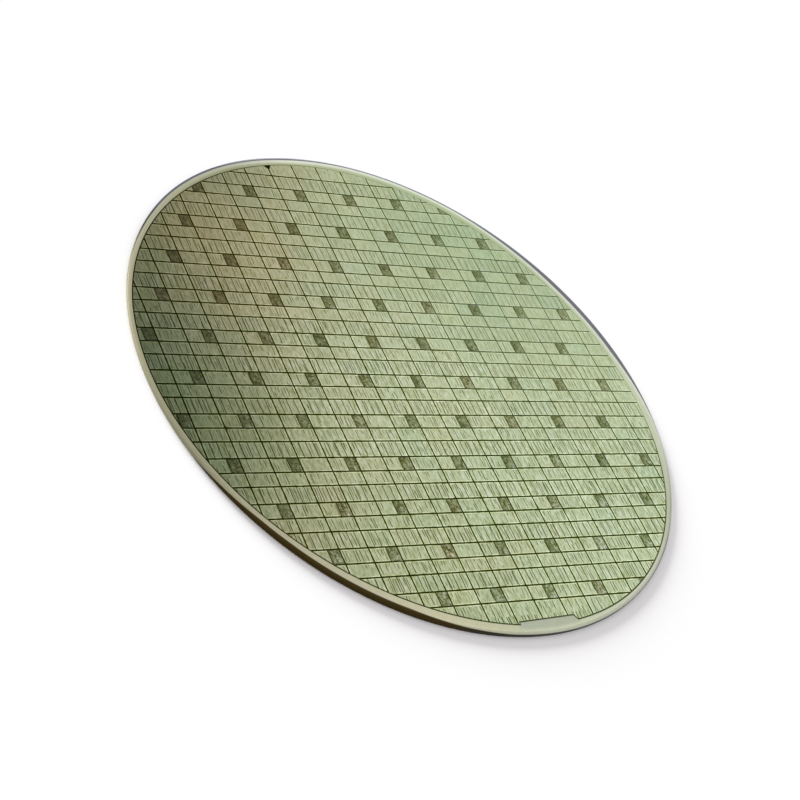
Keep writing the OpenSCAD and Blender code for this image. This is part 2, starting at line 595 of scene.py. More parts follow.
def add(tree, kind, inputs=None, **settings):
    """Adds a node. An input is a value or another node's output, and a setting is its choice."""
    made = tree.nodes.new("ShaderNode" + kind)
    for name, value in settings.items():
        setattr(made, name, value)
    for socket, value in (inputs or {}).items():
        if isinstance(value, bpy.types.NodeSocket):
            tree.links.new(value, made.inputs[socket])
        else:
            made.inputs[socket].default_value = value
    return made


def calc(tree, operation, *values):
    """One step of arithmetic, as a Math node. Gives its output."""
    return add(tree, "Math", dict(enumerate(values)), operation=operation).outputs[0]


print("a picked 128 is", round(colour(128, 128, 128)[0], 3), "as a linear value")


# %% Helpers that turn one range into another, and mix colours
def ease(tree, value, low, high, to_low=0, to_high=1):
    """Turns a range of values smoothly into another range. Gives the output."""
    inputs = {"Value": value, "From Min": low, "From Max": high, "To Min": to_low, "To Max": to_high}
    return add(tree, "MapRange", inputs, interpolation_type="SMOOTHSTEP").outputs[0]


def blend_colours(tree, share, first, second, way="MIX"):
    """Mixes two colours. Gives the output."""
    made = add(tree, "Mix", data_type="RGBA", blend_type=way, clamp_factor=True)
    for socket, value in ((0, share), (6, first), (7, second)):
        if isinstance(value, bpy.types.NodeSocket):
            tree.links.new(value, made.inputs[socket])
        else:
            made.inputs[socket].default_value = value
    return made.outputs[2]


def tinted(tree, first, second):
    """One colour times another. Gives the output."""
    return blend_colours(tree, 1, first, second, "MULTIPLY")


def ramp(tree, value, stops):
    """Turns a value into a colour, along stops of (value, colour). Gives the output."""
    first = stops[0][0]
    last = stops[-1][0]
    share = add(tree, "MapRange", {"Value": value, "From Min": first, "From Max": last})
    made = add(tree, "ValToRGB", {0: share.outputs[0]})
    elements = made.color_ramp.elements
    for k, (at, tone) in enumerate(stops):
        stop = elements[k] if k < 2 else elements.new(1)
        stop.position = (at - first) / (last - first)
        stop.color = tone
    return made.outputs[0]


# %% Helpers for groups and noise
def new_group(name, inputs=(), outputs=()):
    """A shader node group with its sockets. Gives the group, its input node and output node."""
    group = bpy.data.node_groups.new(name, "ShaderNodeTree")
    for socket, kind, value in inputs:
        made = group.interface.new_socket(socket, in_out="INPUT", socket_type="NodeSocket" + kind)
        made.default_value = value
    for socket, kind in outputs:
        group.interface.new_socket(socket, in_out="OUTPUT", socket_type="NodeSocket" + kind)
    return group, group.nodes.new("NodeGroupInput"), group.nodes.new("NodeGroupOutput")


def tell(group):
    """Prints what a finished group takes and gives."""
    sockets = group.interface.items_tree
    takes = [socket.name for socket in sockets if socket.in_out == "INPUT"]
    gives = [socket.name for socket in sockets if socket.in_out == "OUTPUT"]
    print(f"{group.name}: takes {takes}, gives {gives}, {len(group.nodes)} nodes")


def place_group(tree, group, **inputs):
    """Puts a group into a tree. Gives the new node."""
    made = tree.nodes.new("ShaderNodeGroup")
    made.node_tree = group
    for socket, value in inputs.items():
        name = socket.replace("_", " ").capitalize()
        if isinstance(value, bpy.types.NodeSocket):
            tree.links.new(value, made.inputs[name])
        else:
            made.inputs[name].default_value = value
    return made


def stretched_noise(tree, here, pitch, length, seed, detail):
    """Noise over the disc, with grains of this width and length. Gives the output."""
    grain = add(tree, "CombineXYZ", {
        "X": calc(tree, "DIVIDE", here.outputs["X"], pitch),
        "Y": calc(tree, "DIVIDE", here.outputs["Y"], length),
        "Z": seed,
    })
    inputs = {"Vector": grain.outputs[0], "Scale": 1, "Detail": detail, "Roughness": 0.6}
    return add(tree, "TexNoise", inputs).outputs["Fac"]


# %% Group: where a point lies on the disc, in millimetres and degrees
where, _, where_out = new_group(
    "where",
    outputs=(
        ("X", "Float"), ("Y", "Float"), ("Height", "Float"), ("Radius", "Float"), ("Direction", "Float"),
    ),
)
spot_mm = add(where, "VectorMath", operation="SCALE")
where.links.new(add(where, "TexCoord").outputs["Object"], spot_mm.inputs[0])
spot_mm.inputs["Scale"].default_value = 1 / MM
axes = add(where, "SeparateXYZ", {0: spot_mm.outputs[0]})
flat_spot = add(where, "CombineXYZ", {"X": axes.outputs["X"], "Y": axes.outputs["Y"]})
length = add(where, "VectorMath", {0: flat_spot.outputs[0]}, operation="LENGTH")
turns = calc(where, "DIVIDE", calc(where, "ARCTAN2", axes.outputs["Y"], axes.outputs["X"]), 2 * math.pi)
where.links.new(axes.outputs["X"], where_out.inputs["X"])
where.links.new(axes.outputs["Y"], where_out.inputs["Y"])
where.links.new(axes.outputs["Z"], where_out.inputs["Height"])
where.links.new(length.outputs["Value"], where_out.inputs["Radius"])
where.links.new(calc(where, "MULTIPLY", calc(where, "FRACT", turns), 360), where_out.inputs["Direction"])
tell(where)

# %% Group: a soft round patch of the disc
around, around_in, around_out = new_group(
    "soft patch",
    (("Centre x", "Float", 0), ("Centre y", "Float", 0), ("Reach", "Float", 50)),
    (("Mask", "Float"),),
)
here = place_group(around, where)
off_x = calc(around, "SUBTRACT", here.outputs["X"], around_in.outputs["Centre x"])
off_y = calc(around, "SUBTRACT", here.outputs["Y"], around_in.outputs["Centre y"])
off = add(around, "VectorMath", {0: add(around, "CombineXYZ", {"X": off_x, "Y": off_y}).outputs[0]},
          operation="LENGTH")
share = calc(around, "DIVIDE", off.outputs["Value"], around_in.outputs["Reach"])
around.links.new(ease(around, share, 0, 1, 1, 0), around_out.inputs["Mask"])
tell(around)

# %% Group: luck that differs from chip to chip, and the place inside a column and a row
BAND_FEET = (SITE_BAND_H, SITE_BAND_H + WIDE_BAND_H)
chip_luck, _, chip_luck_out = new_group(
    "chip luck",
    outputs=(
        ("First", "Float"), ("Second", "Float"), ("Third", "Float"), ("Across", "Float"), ("Below", "Float"),
    ),
)
here = place_group(chip_luck, where)
right = calc(chip_luck, "DIVIDE", calc(chip_luck, "SUBTRACT", here.outputs["X"], GRID_X), COLUMN_PITCH)
down = calc(chip_luck, "DIVIDE", calc(chip_luck, "SUBTRACT", site_top(0), here.outputs["Y"]), row_pitch)
below = calc(chip_luck, "MULTIPLY", calc(chip_luck, "FRACT", down), row_pitch)
band = calc(chip_luck, "ADD",
            calc(chip_luck, "GREATER_THAN", below, BAND_FEET[0]),
            calc(chip_luck, "GREATER_THAN", below, BAND_FEET[1]))
cell = add(chip_luck, "CombineXYZ", {
    "X": calc(chip_luck, "FLOOR", right),
    "Y": calc(chip_luck, "FLOOR", down),
    "Z": band,
})
luck = add(chip_luck, "TexWhiteNoise", {"Vector": cell.outputs[0]}, noise_dimensions="3D")
luck = add(chip_luck, "SeparateColor", {0: luck.outputs["Color"]})
for k, name in enumerate(("First", "Second", "Third")):
    chip_luck.links.new(luck.outputs[k], chip_luck_out.inputs[name])
across_mm = calc(chip_luck, "MULTIPLY", calc(chip_luck, "FRACT", right), COLUMN_PITCH)
chip_luck.links.new(across_mm, chip_luck_out.inputs["Across"])
chip_luck.links.new(below, chip_luck_out.inputs["Below"])
tell(chip_luck)

# %% Group: the drifting colour of the films, and painted shade on one side
DRIFT_ALONG = (0.936, -0.352)
# The lowest stops, on the left of the disc, are painted shade.
FILM_TONES_AND_SHADE = [
    (-140, colour(92, 99, 72)),
    (-98, colour(131, 133, 103)),
    (-67, colour(160, 162, 128)),
    (-30, colour(174, 181, 147)),
    (20, colour(180, 190, 155)),
    (140, colour(180, 194, 158)),
]
CLOUD_MM = 28
CLOUD_WARMTH = 0.1
CHIP_WARMTH = 0.05
CHIP_LIGHT = 0.08
films, _, films_out = new_group("film colour and shade", outputs=(("Color", "Color"),))
here = place_group(films, where)
drift_and_shade = calc(films, "ADD",
             calc(films, "MULTIPLY", here.outputs["X"], DRIFT_ALONG[0]),
             calc(films, "MULTIPLY", here.outputs["Y"], DRIFT_ALONG[1]))
tint = ramp(films, drift_and_shade, FILM_TONES_AND_SHADE)
# Soft round patches of another tint, as (x, y, reach, what the colour is multiplied by)
TINTS = (
    (-100, 92, 78, (1.4, 1.21, 1.17, 1)),
    # This darker patch carries the painted shade on the left further.
    (-140, -30, 85, (0.7, 0.8, 0.73, 1)),
    (85, 100, 120, (0.82, 0.89, 0.84, 1)),
    (-60, -140, 140, (0.86, 0.87, 0.81, 1)),
)
for x, y, reach, change in TINTS:
    mask = place_group(films, around, centre_x=x, centre_y=y, reach=reach).outputs["Mask"]
    tint = blend_colours(films, mask, tint, tinted(films, tint, change))
clouds = stretched_noise(films, here, CLOUD_MM, CLOUD_MM, seed=3.5, detail=1)
chance = place_group(films, chip_luck).outputs
warmth = calc(films, "ADD",
              calc(films, "MULTIPLY", calc(films, "SUBTRACT", chance["First"], 0.5), CHIP_WARMTH),
              calc(films, "MULTIPLY", calc(films, "SUBTRACT", clouds, 0.5), CLOUD_WARMTH))
light = calc(films, "MULTIPLY_ADD", calc(films, "SUBTRACT", chance["Second"], 0.5), CHIP_LIGHT, 1)
mottle = add(films, "CombineColor", {
    0: calc(films, "MULTIPLY", light, calc(films, "ADD", 1, warmth)),
    1: light,
    2: calc(films, "MULTIPLY", light, calc(films, "MULTIPLY_ADD", warmth, -0.5, 1)),
})
films.links.new(tinted(films, tint, mottle.outputs[0]), films_out.inputs["Color"])
tell(films)

# %% [markdown]
# ## Finishes
# Within a chip the pattern is far finer than anything that can be modelled here. It shows as a fine upright
# hatch and as dark strokes, because memory is laid out in long columns. Stretched noise gives the hatch.
# Noise would give strokes of any place and length, so those are drawn in upright lanes instead: luck gives
# each lane its stroke's place, length and depth, and a painted highlight lies beside it. Where noise crosses
# one value it gives the curls of the test sites.
# Where the pattern is darker it is yellower too, so every such value takes blue away first.
# Streets have no film, so they are the dark crystal, tinted by a trace of oxide.

# %% Group: the fine upright hatch in the chips
HATCH_SWING = 4
hatch, hatch_in, hatch_out = new_group(
    "hatch",
    (("Strength", "Float", 0.1), ("Pitch", "Float", 0.8), ("Length", "Float", 8)),
    (("Shade", "Float"),),
)
here = place_group(hatch, where)
strength, pitch, length = (hatch_in.outputs[k] for k in range(3))
fine = stretched_noise(hatch, here, pitch, length, seed=0.5, detail=2)
swing = calc(hatch, "MULTIPLY", calc(hatch, "SUBTRACT", fine, 0.5), HATCH_SWING)
swing = calc(hatch, "MULTIPLY", swing, strength)
hatch.links.new(calc(hatch, "ADD", swing, 1), hatch_out.inputs["Shade"])
tell(hatch)

# %% Group: dark strokes that hang from a band's upper street or stand on its lower one
BEND_MM = 1.1
BEND_W = 6
BEND_LENGTH = 9
LANE_MARGIN = 0.2
HANGING_SHARE = 0.7
FAINTEST = -0.1
END_FADES_FROM = 0.7
STROKE_CORE = 0.25
# How far aside the painted highlight beside a stroke lies, in stroke widths
PAINTED_GLINT_SHIFT = 1.4
strokes, strokes_in, strokes_out = new_group(
    "strokes",
    (
        ("Band top", "Float", 0), ("Band height", "Float", 8), ("Pitch", "Float", 1.7),
        ("Width", "Float", 0.36), ("Reach", "Float", 0.3),
    ),
    (("Mask", "Float"), ("Glint", "Float")),
)
here = place_group(strokes, where)
band_top, band_height, pitch, width, reach = (strokes_in.outputs[k] for k in range(5))
bend = stretched_noise(strokes, here, BEND_W, BEND_LENGTH, seed=0.5, detail=0)
bend = calc(strokes, "MULTIPLY", calc(strokes, "SUBTRACT", bend, 0.5), BEND_MM)
lanes = calc(strokes, "DIVIDE", calc(strokes, "ADD", here.outputs["X"], bend), pitch)
down = calc(strokes, "DIVIDE", calc(strokes, "SUBTRACT", band_top, here.outputs["Y"]), row_pitch)
cell = add(strokes, "CombineXYZ", {
    "X": calc(strokes, "FLOOR", lanes),
    "Y": calc(strokes, "FLOOR", down),
    "Z": band_top,
})
luck = add(strokes, "TexWhiteNoise", {"Vector": cell.outputs[0]}, noise_dimensions="3D")
luck = add(strokes, "SeparateColor", {0: luck.outputs["Color"]})
middle = calc(strokes, "MULTIPLY_ADD", luck.outputs[0], 1 - 2 * LANE_MARGIN, LANE_MARGIN)
off = calc(strokes, "SUBTRACT", calc(strokes, "FRACT", lanes), middle)
off = calc(strokes, "DIVIDE", calc(strokes, "MULTIPLY", off, pitch), width)
fallen = calc(strokes, "MULTIPLY", calc(strokes, "FRACT", down), row_pitch)
fallen = calc(strokes, "DIVIDE", fallen, band_height)
other_luck = calc(strokes, "FRACT", calc(strokes, "MULTIPLY", luck.outputs[0], 7))
from_foot = calc(strokes, "GREATER_THAN", other_luck, HANGING_SHARE)
fallen = calc(strokes, "ABSOLUTE", calc(strokes, "SUBTRACT", from_foot, fallen))
end = calc(strokes, "ADD", luck.outputs[1], reach)
run = calc(strokes, "MULTIPLY", ease(strokes, luck.outputs[2], FAINTEST, 1),
           ease(strokes, calc(strokes, "DIVIDE", fallen, end), END_FADES_FROM, 1, 1, 0))
# The stroke's mask, and the painted highlight: the same mask shifted aside
for name, shift in (("Mask", 0), ("Glint", PAINTED_GLINT_SHIFT)):
    from_line = calc(strokes, "ABSOLUTE", calc(strokes, "SUBTRACT", off, shift))
    mask = calc(strokes, "MULTIPLY", run, ease(strokes, from_line, STROKE_CORE, 1, 1, 0))
    strokes.links.new(mask, strokes_out.inputs[name])
tell(strokes)

# %% Group: thin dark curls, as in the coils and mazes of a test site
CURL_CORE = 0.3
swirls, swirls_in, swirls_out = new_group(
    "swirls", (("Size", "Float", 2.0), ("Width", "Float", 0.05)), (("Mask", "Float"),)
)
here = place_group(swirls, where)
size = swirls_in.outputs["Size"]
winding = stretched_noise(swirls, here, size, size, seed=7.5, detail=1)
off = calc(swirls, "DIVIDE", calc(swirls, "ABSOLUTE", calc(swirls, "SUBTRACT", winding, 0.5)),
           swirls_in.outputs["Width"])
swirls.links.new(ease(swirls, off, CURL_CORE, 1, 1, 0), swirls_out.inputs["Mask"])
tell(swirls)

# %% A plain finish, and a darkening that takes blue away first
GREEN_POWER = 0.93
BLUE_POWER = 1.6


def new_finish(name, roughness, gloss=0.5):
    """A material with a Principled shader. Gives the material, its tree and its shader."""
    material = bpy.data.materials.new(name)
    material.use_nodes = True
    tree = material.node_tree
    shader = tree.nodes["Principled BSDF"]
    shader.inputs["Roughness"].default_value = roughness
    shader.inputs["Specular IOR Level"].default_value = gloss
    return material, tree, shader


def shade(tree, tint, factor):
    """Multiplies a colour by a value, which takes blue away sooner than red or green."""
    tone = add(tree, "CombineColor", {
        0: factor,
        1: calc(tree, "POWER", factor, GREEN_POWER),
        2: calc(tree, "POWER", factor, BLUE_POWER),
    }).outputs[0]
    return tinted(tree, tint, tone)


print("a value of 0.5 leaves", round(0.5**BLUE_POWER, 2), "of the blue")

# %% Strokes in the chips
STROKE_DEPTH = 0.82
STROKE_PAINTED_GLINT = 0.13
NO_STROKES_AT = -0.8
ALL_STROKES_AT = 0.6


def draw_strokes(tree, factor, stroke, contrast):
    """Darkens a value in the strokes and lifts it a little beside them as a painted highlight, more in one
    chip than in the next."""
    drawn = place_group(tree, strokes, **stroke).outputs
    third = place_group(tree, chip_luck).outputs["Third"]
    share = calc(tree, "MULTIPLY", contrast, ease(tree, third, NO_STROKES_AT, ALL_STROKES_AT))
    mask = calc(tree, "MINIMUM", calc(tree, "MULTIPLY", drawn["Mask"], share), 1)
    painted_glint = calc(tree, "MULTIPLY", drawn["Glint"], share)
    factor = calc(tree, "MULTIPLY", factor, calc(tree, "MULTIPLY_ADD", mask, -STROKE_DEPTH, 1))
    return calc(tree, "MULTIPLY", factor, calc(tree, "MULTIPLY_ADD", painted_glint, STROKE_PAINTED_GLINT, 1))


print(f"a full stroke keeps {1 - STROKE_DEPTH:.2f} of the light")

# %% The uneven floor of a test site, with painted shade at its left and top edges
SITE_LIGHT = 0.32
SITE_WARMTH = 0.1
SWIRL_DEPTH = 0.6
SHADE_LEFT_TO_RIGHT = (0.78, 1.14)
SHADE_TOP_TO_FOOT = (0.84, 1.1)
LOW_SITES = (-115, -35, 1.34, 1)
WARM_QUARTER = {"centre_x": -90, "centre_y": 90, "reach": 120}
WARM_BROWN = (0.82, 0.74, 0.62, 1)


def light_site(tree, factor, swirl):
    """Changes a value over a test site: by luck, by its curls, by painted shade at its left and top edges
    that lifts inwards, and down to the foot of the disc, where the sites are lighter."""
    chance = place_group(tree, chip_luck).outputs
    mask = place_group(tree, swirls, **swirl).outputs["Mask"]
    by_luck = calc(tree, "MULTIPLY_ADD", calc(tree, "SUBTRACT", chance["First"], 0.5), SITE_LIGHT, 1)
    in_curls = calc(tree, "MULTIPLY_ADD", mask, -SWIRL_DEPTH, 1)
    # Painted shade at the site's left and top edges, lifting towards its right and foot
    shade_from_left = ease(tree, chance["Across"], COLUMN_PITCH - SITE_W, COLUMN_PITCH, *SHADE_LEFT_TO_RIGHT)
    shade_from_top = ease(tree, chance["Below"], 0, SITE_BAND_H, *SHADE_TOP_TO_FOOT)
    low_down = ease(tree, place_group(tree, where).outputs["Y"], *LOW_SITES)
    for change in (in_curls, by_luck, shade_from_left, shade_from_top, low_down):
        factor = calc(tree, "MULTIPLY", factor, change)
    return factor


def warm_site(tree, tint):
    """Reddens a test site's colour by luck, and browns it in the warm quarter of the disc."""
    third = place_group(tree, chip_luck).outputs["Third"]
    warmth = calc(tree, "MULTIPLY_ADD", calc(tree, "POWER", third, 3), SITE_WARMTH, 1)
    warm = add(tree, "CombineColor", {0: warmth, 1: 1, 2: 1}).outputs[0]
    tint = tinted(tree, tint, warm)
    mask = place_group(tree, around, **WARM_QUARTER).outputs["Mask"]
    return blend_colours(tree, mask, tint, tinted(tree, tint, WARM_BROWN))


print(f"a curl keeps {1 - SWIRL_DEPTH:.1f} of the light")

# %% A finish of the pattern: the drifting colour, tinted, hatched and drawn on
FADED = {"centre_x": 110, "centre_y": 70, "reach": 170}
QUIET = {"centre_x": -20, "centre_y": 105, "reach": 150}
CONTRAST_TO_FADED = (1.3, 0.6)
CONTRAST_TO_QUIET = (1, 0.6)


def film_finish(name, tint, strength, pitch=0.8, length=8, fade=0.0, calm=0.0, stroke=None, swirl=None,
                gloss=0.12):
    """The films' colour times a tint, with the hatch at some strength. Fade is the share of the
    tint that is lost in the cool quarter, and calm the share that is lost in the quiet one.
    Stroke and swirl are the values for those groups, in a finish that has such lines."""
    material, tree, shader = new_finish(name, 0.5, gloss)
    base = place_group(tree, films).outputs["Color"]
    faded = place_group(tree, around, **FADED).outputs["Mask"]
    quiet = place_group(tree, around, **QUIET).outputs["Mask"]
    contrast = calc(tree, "MULTIPLY", ease(tree, faded, 0, 1, *CONTRAST_TO_FADED),
                    ease(tree, quiet, 0, 1, *CONTRAST_TO_QUIET))
    strength = calc(tree, "MULTIPLY", contrast, strength)
    factor = place_group(tree, hatch, strength=strength, pitch=pitch, length=length).outputs["Shade"]
    toned = tinted(tree, base, (*tint, 1))
    for mask, share in ((faded, fade), (quiet, calm)):
        if share:
            toned = blend_colours(tree, calc(tree, "MULTIPLY", mask, share), toned, base)
    if stroke:
        factor = draw_strokes(tree, factor, stroke, contrast)
    if swirl:
        factor = light_site(tree, factor, swirl)
        toned = warm_site(tree, toned)
    tree.links.new(shade(tree, toned, factor), shader.inputs["Base Color"])
    print(f"{name}: {len(tree.nodes)} nodes")
    return material


# %% The finishes of the pattern
SITE_STROKES = {"band_top": site_top(0), "band_height": SITE_BAND_H, "pitch": 1.7, "reach": 0.3}
WIDE_STROKES = {"band_top": wide_top(0), "band_height": WIDE_BAND_H, "pitch": 1.6, "reach": 0.3}
NARROW_STROKES = {"band_top": narrow_top(0), "band_height": NARROW_BAND_H, "pitch": 2.1, "reach": 0.5}
CHIP_TINT = (1.1, 1.1, 1.1)
CHIP_HATCH = {"pitch": 1, "length": 3}
STREET_TINT = (0.06, 0.07, 0.015)
IN_SITE = {"strength": 0.6, "pitch": 1.5, "length": 2.2, "fade": 0.2, "swirl": {"size": 2.6, "width": 0.05}}
finishes = {
    "plain films": film_finish("plain_films", (1, 1, 1), 0.1),
    "site chips": film_finish("site_chips", CHIP_TINT, 0.27, **CHIP_HATCH, stroke=SITE_STROKES),
    "wide chips": film_finish("wide_chips", CHIP_TINT, 0.27, **CHIP_HATCH, stroke=WIDE_STROKES),
    "narrow chips": film_finish("narrow_chips", CHIP_TINT, 0.3, **CHIP_HATCH, stroke=NARROW_STROKES),
    "guard ring": film_finish("guard_rings", (1.36, 1.36, 1.26), 0.35, 3, 3, fade=0.5),
    "fine street": film_finish("fine_streets", (0.12, 0.13, 0.05), 0.8, 5, 5, 0.6, 0.5, gloss=0),
    "street": film_finish("streets", STREET_TINT, 0.3, 5, 5, fade=0.35, gloss=0),
    "wall": film_finish("film_edges", STREET_TINT, 0.1, fade=0.35, gloss=0),
    # Painted shade at a test site's left edge
    "site edge": film_finish("site_edge_shade", (0.14, 0.14, 0.05), 0.8, 3, 3, gloss=0),
    "street side": film_finish("street_sides", (0.52, 0.55, 0.26), 1.0, 3, 3, fade=0.9, gloss=0),
    "test floor": film_finish("test_floors", (0.61, 0.63, 0.5), **IN_SITE),
    "test pad": film_finish("test_pads", (0.74, 0.77, 0.62), **IN_SITE),
    "test bar": film_finish("test_bars", (0.48, 0.49, 0.34), **IN_SITE),
    "mark": film_finish("direction_mark", (0.04, 0.035, 0.01), 0.2, gloss=0),
}

# %% [markdown]
# ## Rim
# The bare ring is polished silicon, and it and the bevel mirror whatever the disc faces, so their tone
# changes with the direction round the rim. A true mirror would need that studio built round it. Five ramps
# over the direction, from 0 to 360 degrees, paint that reflection instead, with painted shade on the edge
# and a painted highlight on the nose. They hold the ring's tone, how much of it is left beside the films,
# the edge's tone, how far out that begins, and how much light the rounded nose catches. In the identity
# patch the crystal is a little duller.

# %% Painted reflections round the rim, by direction in degrees
PALE = colour(205, 212, 190)
OLIVE = colour(172, 172, 144)
CREAM = colour(164, 158, 132)
BROWN = colour(62, 50, 16)
DARK_GREY = colour(50, 52, 42)
BLUE_GREY = colour(99, 101, 109)
RING_REFLECTIONS = [
    (0, colour(212, 219, 196)), (35, colour(212, 219, 196)), (60, colour(220, 230, 206)),
    (95, colour(222, 225, 208)), (110, colour(182, 183, 158)), (125, OLIVE), (160, CREAM),
    (200, colour(152, 151, 122)), (225, colour(178, 174, 145)), (250, colour(199, 196, 164)),
    (275, colour(210, 217, 192)), (305, colour(208, 214, 192)), (328, colour(178, 186, 158)),
    (345, colour(208, 215, 192)), (360, colour(212, 219, 196)),
]
ALIKE = (1, 1, 1, 1)
HALFWAY = (0.85, 0.87, 0.78, 1)
TAPERED = (0.6, 0.64, 0.47, 1)
INNER_SHARES = [
    (0, HALFWAY), (60, TAPERED), (115, TAPERED), (140, ALIKE), (245, ALIKE), (262, HALFWAY),
    (285, HALFWAY), (315, HALFWAY), (328, ALIKE), (345, HALFWAY), (360, HALFWAY),
]
EDGE_REFLECTIONS = [
    (0, BLUE_GREY), (90, BLUE_GREY), (105, colour(82, 85, 95)), (134, colour(82, 85, 95)),
    (143, DARK_GREY), (165, CREAM), (192, CREAM), (197, BROWN), (250, BROWN), (260, DARK_GREY),
    (275, colour(66, 70, 60)), (314, colour(84, 88, 78)), (324, PALE), (346, PALE),
    (352, BLUE_GREY), (360, BLUE_GREY),
]
# Where the edge's painted reflection and shade begins, as the radius plus the way down from the face, in
# millimetres
EDGE_STARTS = [
    (0, 147.7), (8, 146.2), (28, 145.8), (42, 146.8), (54, 147.9), (80, 148.1), (95, 147.8),
    (112, 148.5), (138, 149), (157, 150.4), (165, 152.5), (194, 153), (206, 150.2), (214, 148.5),
    (220, 148.1), (243, 147.8), (254, 149.3), (263, 150.1), (280, 150.3), (312, 149.8),
    (350, 149.6), (360, 147.7),
]
NOSE_HIGHLIGHT_SHARES = [
    (0, grey(0.1)), (30, grey(0.25)), (50, grey(0.7)), (85, grey(0.75)), (100, grey(0.5)),
    (115, grey(0)), (345, grey(0)), (360, grey(0.1)),
]
print(len(RING_REFLECTIONS), "tones on the ring, and", len(EDGE_REFLECTIONS), "on the edge")

# %% Group: the painted reflection on the bare ring and the edge, and the duller patch
LOWEST_START = 145
START_SPAN = 8
INNER_BAND = (-2.8, -1)
EDGE_BLUR = 0.3
NOSE_PAINTED_HIGHLIGHT = colour(214, 215, 220)
NOSE_BAND = (148.5, 149.4)
DULL_TONE = colour(174, 180, 158)
DULL_DIRECTION = 272.4
DULL_SIDES = (6.8, 8)
DULL_RADII = (145.9, 148.3)
rim_tone_and_reflection, _, rim_out = new_group("rim tone and painted reflection", outputs=(("Color", "Color"),))
here = place_group(rim_tone_and_reflection, where)
direction = here.outputs["Direction"]
ring_reflection = ramp(rim_tone_and_reflection, direction, RING_REFLECTIONS)
edge_reflection = ramp(rim_tone_and_reflection, direction, EDGE_REFLECTIONS)
starts = [(at, grey((r - LOWEST_START) / START_SPAN)) for at, r in EDGE_STARTS]
start = add(rim_tone_and_reflection, "SeparateColor", {0: ramp(rim_tone_and_reflection, direction, starts)}).outputs[0]
start = calc(rim_tone_and_reflection, "MULTIPLY_ADD", start, START_SPAN, LOWEST_START)
way_down = calc(rim_tone_and_reflection, "SUBTRACT", wafer_t, here.outputs["Height"])
past = calc(rim_tone_and_reflection, "SUBTRACT", calc(rim_tone_and_reflection, "ADD", here.outputs["Radius"], way_down), start)
inner = tinted(rim_tone_and_reflection, ring_reflection, ramp(rim_tone_and_reflection, direction, INNER_SHARES))
ring_reflection = blend_colours(rim_tone_and_reflection, ease(rim_tone_and_reflection, past, *INNER_BAND), inner, ring_reflection)
tone = blend_colours(rim_tone_and_reflection, ease(rim_tone_and_reflection, past, -EDGE_BLUR, EDGE_BLUR), ring_reflection, edge_reflection)
nose_highlight = add(rim_tone_and_reflection, "SeparateColor", {0: ramp(rim_tone_and_reflection, direction, NOSE_HIGHLIGHT_SHARES)}).outputs[0]
nose_highlight = calc(rim_tone_and_reflection, "MULTIPLY", nose_highlight, ease(rim_tone_and_reflection, here.outputs["Radius"], *NOSE_BAND))
tone = blend_colours(rim_tone_and_reflection, nose_highlight, tone, NOSE_PAINTED_HIGHLIGHT)
off = calc(rim_tone_and_reflection, "ABSOLUTE", calc(rim_tone_and_reflection, "SUBTRACT", direction, DULL_DIRECTION))
dull = calc(rim_tone_and_reflection, "MULTIPLY", ease(rim_tone_and_reflection, off, *DULL_SIDES, 1, 0),
            ease(rim_tone_and_reflection, here.outputs["Radius"], *DULL_RADII, 1, 0))
tone = blend_colours(rim_tone_and_reflection, dull, tone, DULL_TONE)
rim_tone_and_reflection.links.new(tone, rim_out.inputs["Color"])
tell(rim_tone_and_reflection)

# %% The border line, the bare crystal and the back
FAINT = (0.72, 0.78, 0.62, 1)
DARK = (0.14, 0.14, 0.06, 1)
# The line is real, and its darkness by direction is painted shade: faint on the far side, dark on the near
# side.
BORDER_SHADE_BY_DIRECTION = [
    (0, FAINT), (80, FAINT), (110, (0.3, 0.3, 0.2, 1)), (145, DARK),
    (343, DARK), (352, FAINT), (360, FAINT),
]
material, tree, shader = new_finish("border_line", 0.5, 0)
here = place_group(tree, where)
base = place_group(tree, films).outputs["Color"]
toned = tinted(tree, base, ramp(tree, here.outputs["Direction"], BORDER_SHADE_BY_DIRECTION))
tree.links.new(toned, shader.inputs["Base Color"])
finishes["border"] = material

# Both finishes take the rim's painted reflection, shade and highlight
for name, gloss in (("bare crystal", 0.3), ("rim", 0.06)):
    material, tree, shader = new_finish(name.replace(" ", "_"), 0.35, gloss)
    tone = place_group(tree, rim_tone_and_reflection).outputs["Color"]
    lines = place_group(tree, hatch, strength=0.05, pitch=2, length=2)
    tree.links.new(shade(tree, tone, lines.outputs["Shade"]), shader.inputs["Base Color"])
    finishes[name] = material

material, tree, shader = new_finish("back", 0.45, 0.3)
lines = place_group(tree, hatch, strength=0.03, pitch=4, length=4)
ground = shade(tree, colour(150, 150, 148), lines.outputs["Shade"])
tree.links.new(ground, shader.inputs["Base Color"])
finishes["back"] = material
print(len(finishes), "finishes:", ", ".join(finishes))

# %% [markdown]
# ## The wafer
# All points and faces become one mesh. It takes the place of the construction's solid, which has
# the same size and the same streets, but only one finish, and no guard rings, pads or border
# line. The flat faces keep hard edges, and only the rim is shaded smooth.

# %% Make the mesh
mesh = bpy.data.meshes.new("patterned_wafer")
mesh.from_pydata(mesh_points, [], mesh_faces)
slots = list(dict.fromkeys(mesh_finish))
for finish in slots:
    mesh.materials.append(finishes[finish])
mesh.polygons.foreach_set("material_index", [slots.index(finish) for finish in mesh_finish])
smooth = [first_rim_face <= k < first_back_face for k in range(len(mesh_faces))]
mesh.polygons.foreach_set("use_smooth", smooth)
mesh.update()
print("mesh is sound:", not mesh.validate(), "and has", len(mesh.polygons), "faces")

wafer = bpy.data.objects.new("patterned_wafer", mesh)
bpy.context.scene.collection.objects.link(wafer)
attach(wafer, "root")
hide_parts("wafer")
print("wafer", [round(side / MM, 2) for side in wafer.dimensions], "mm, with", len(slots), "finishes")

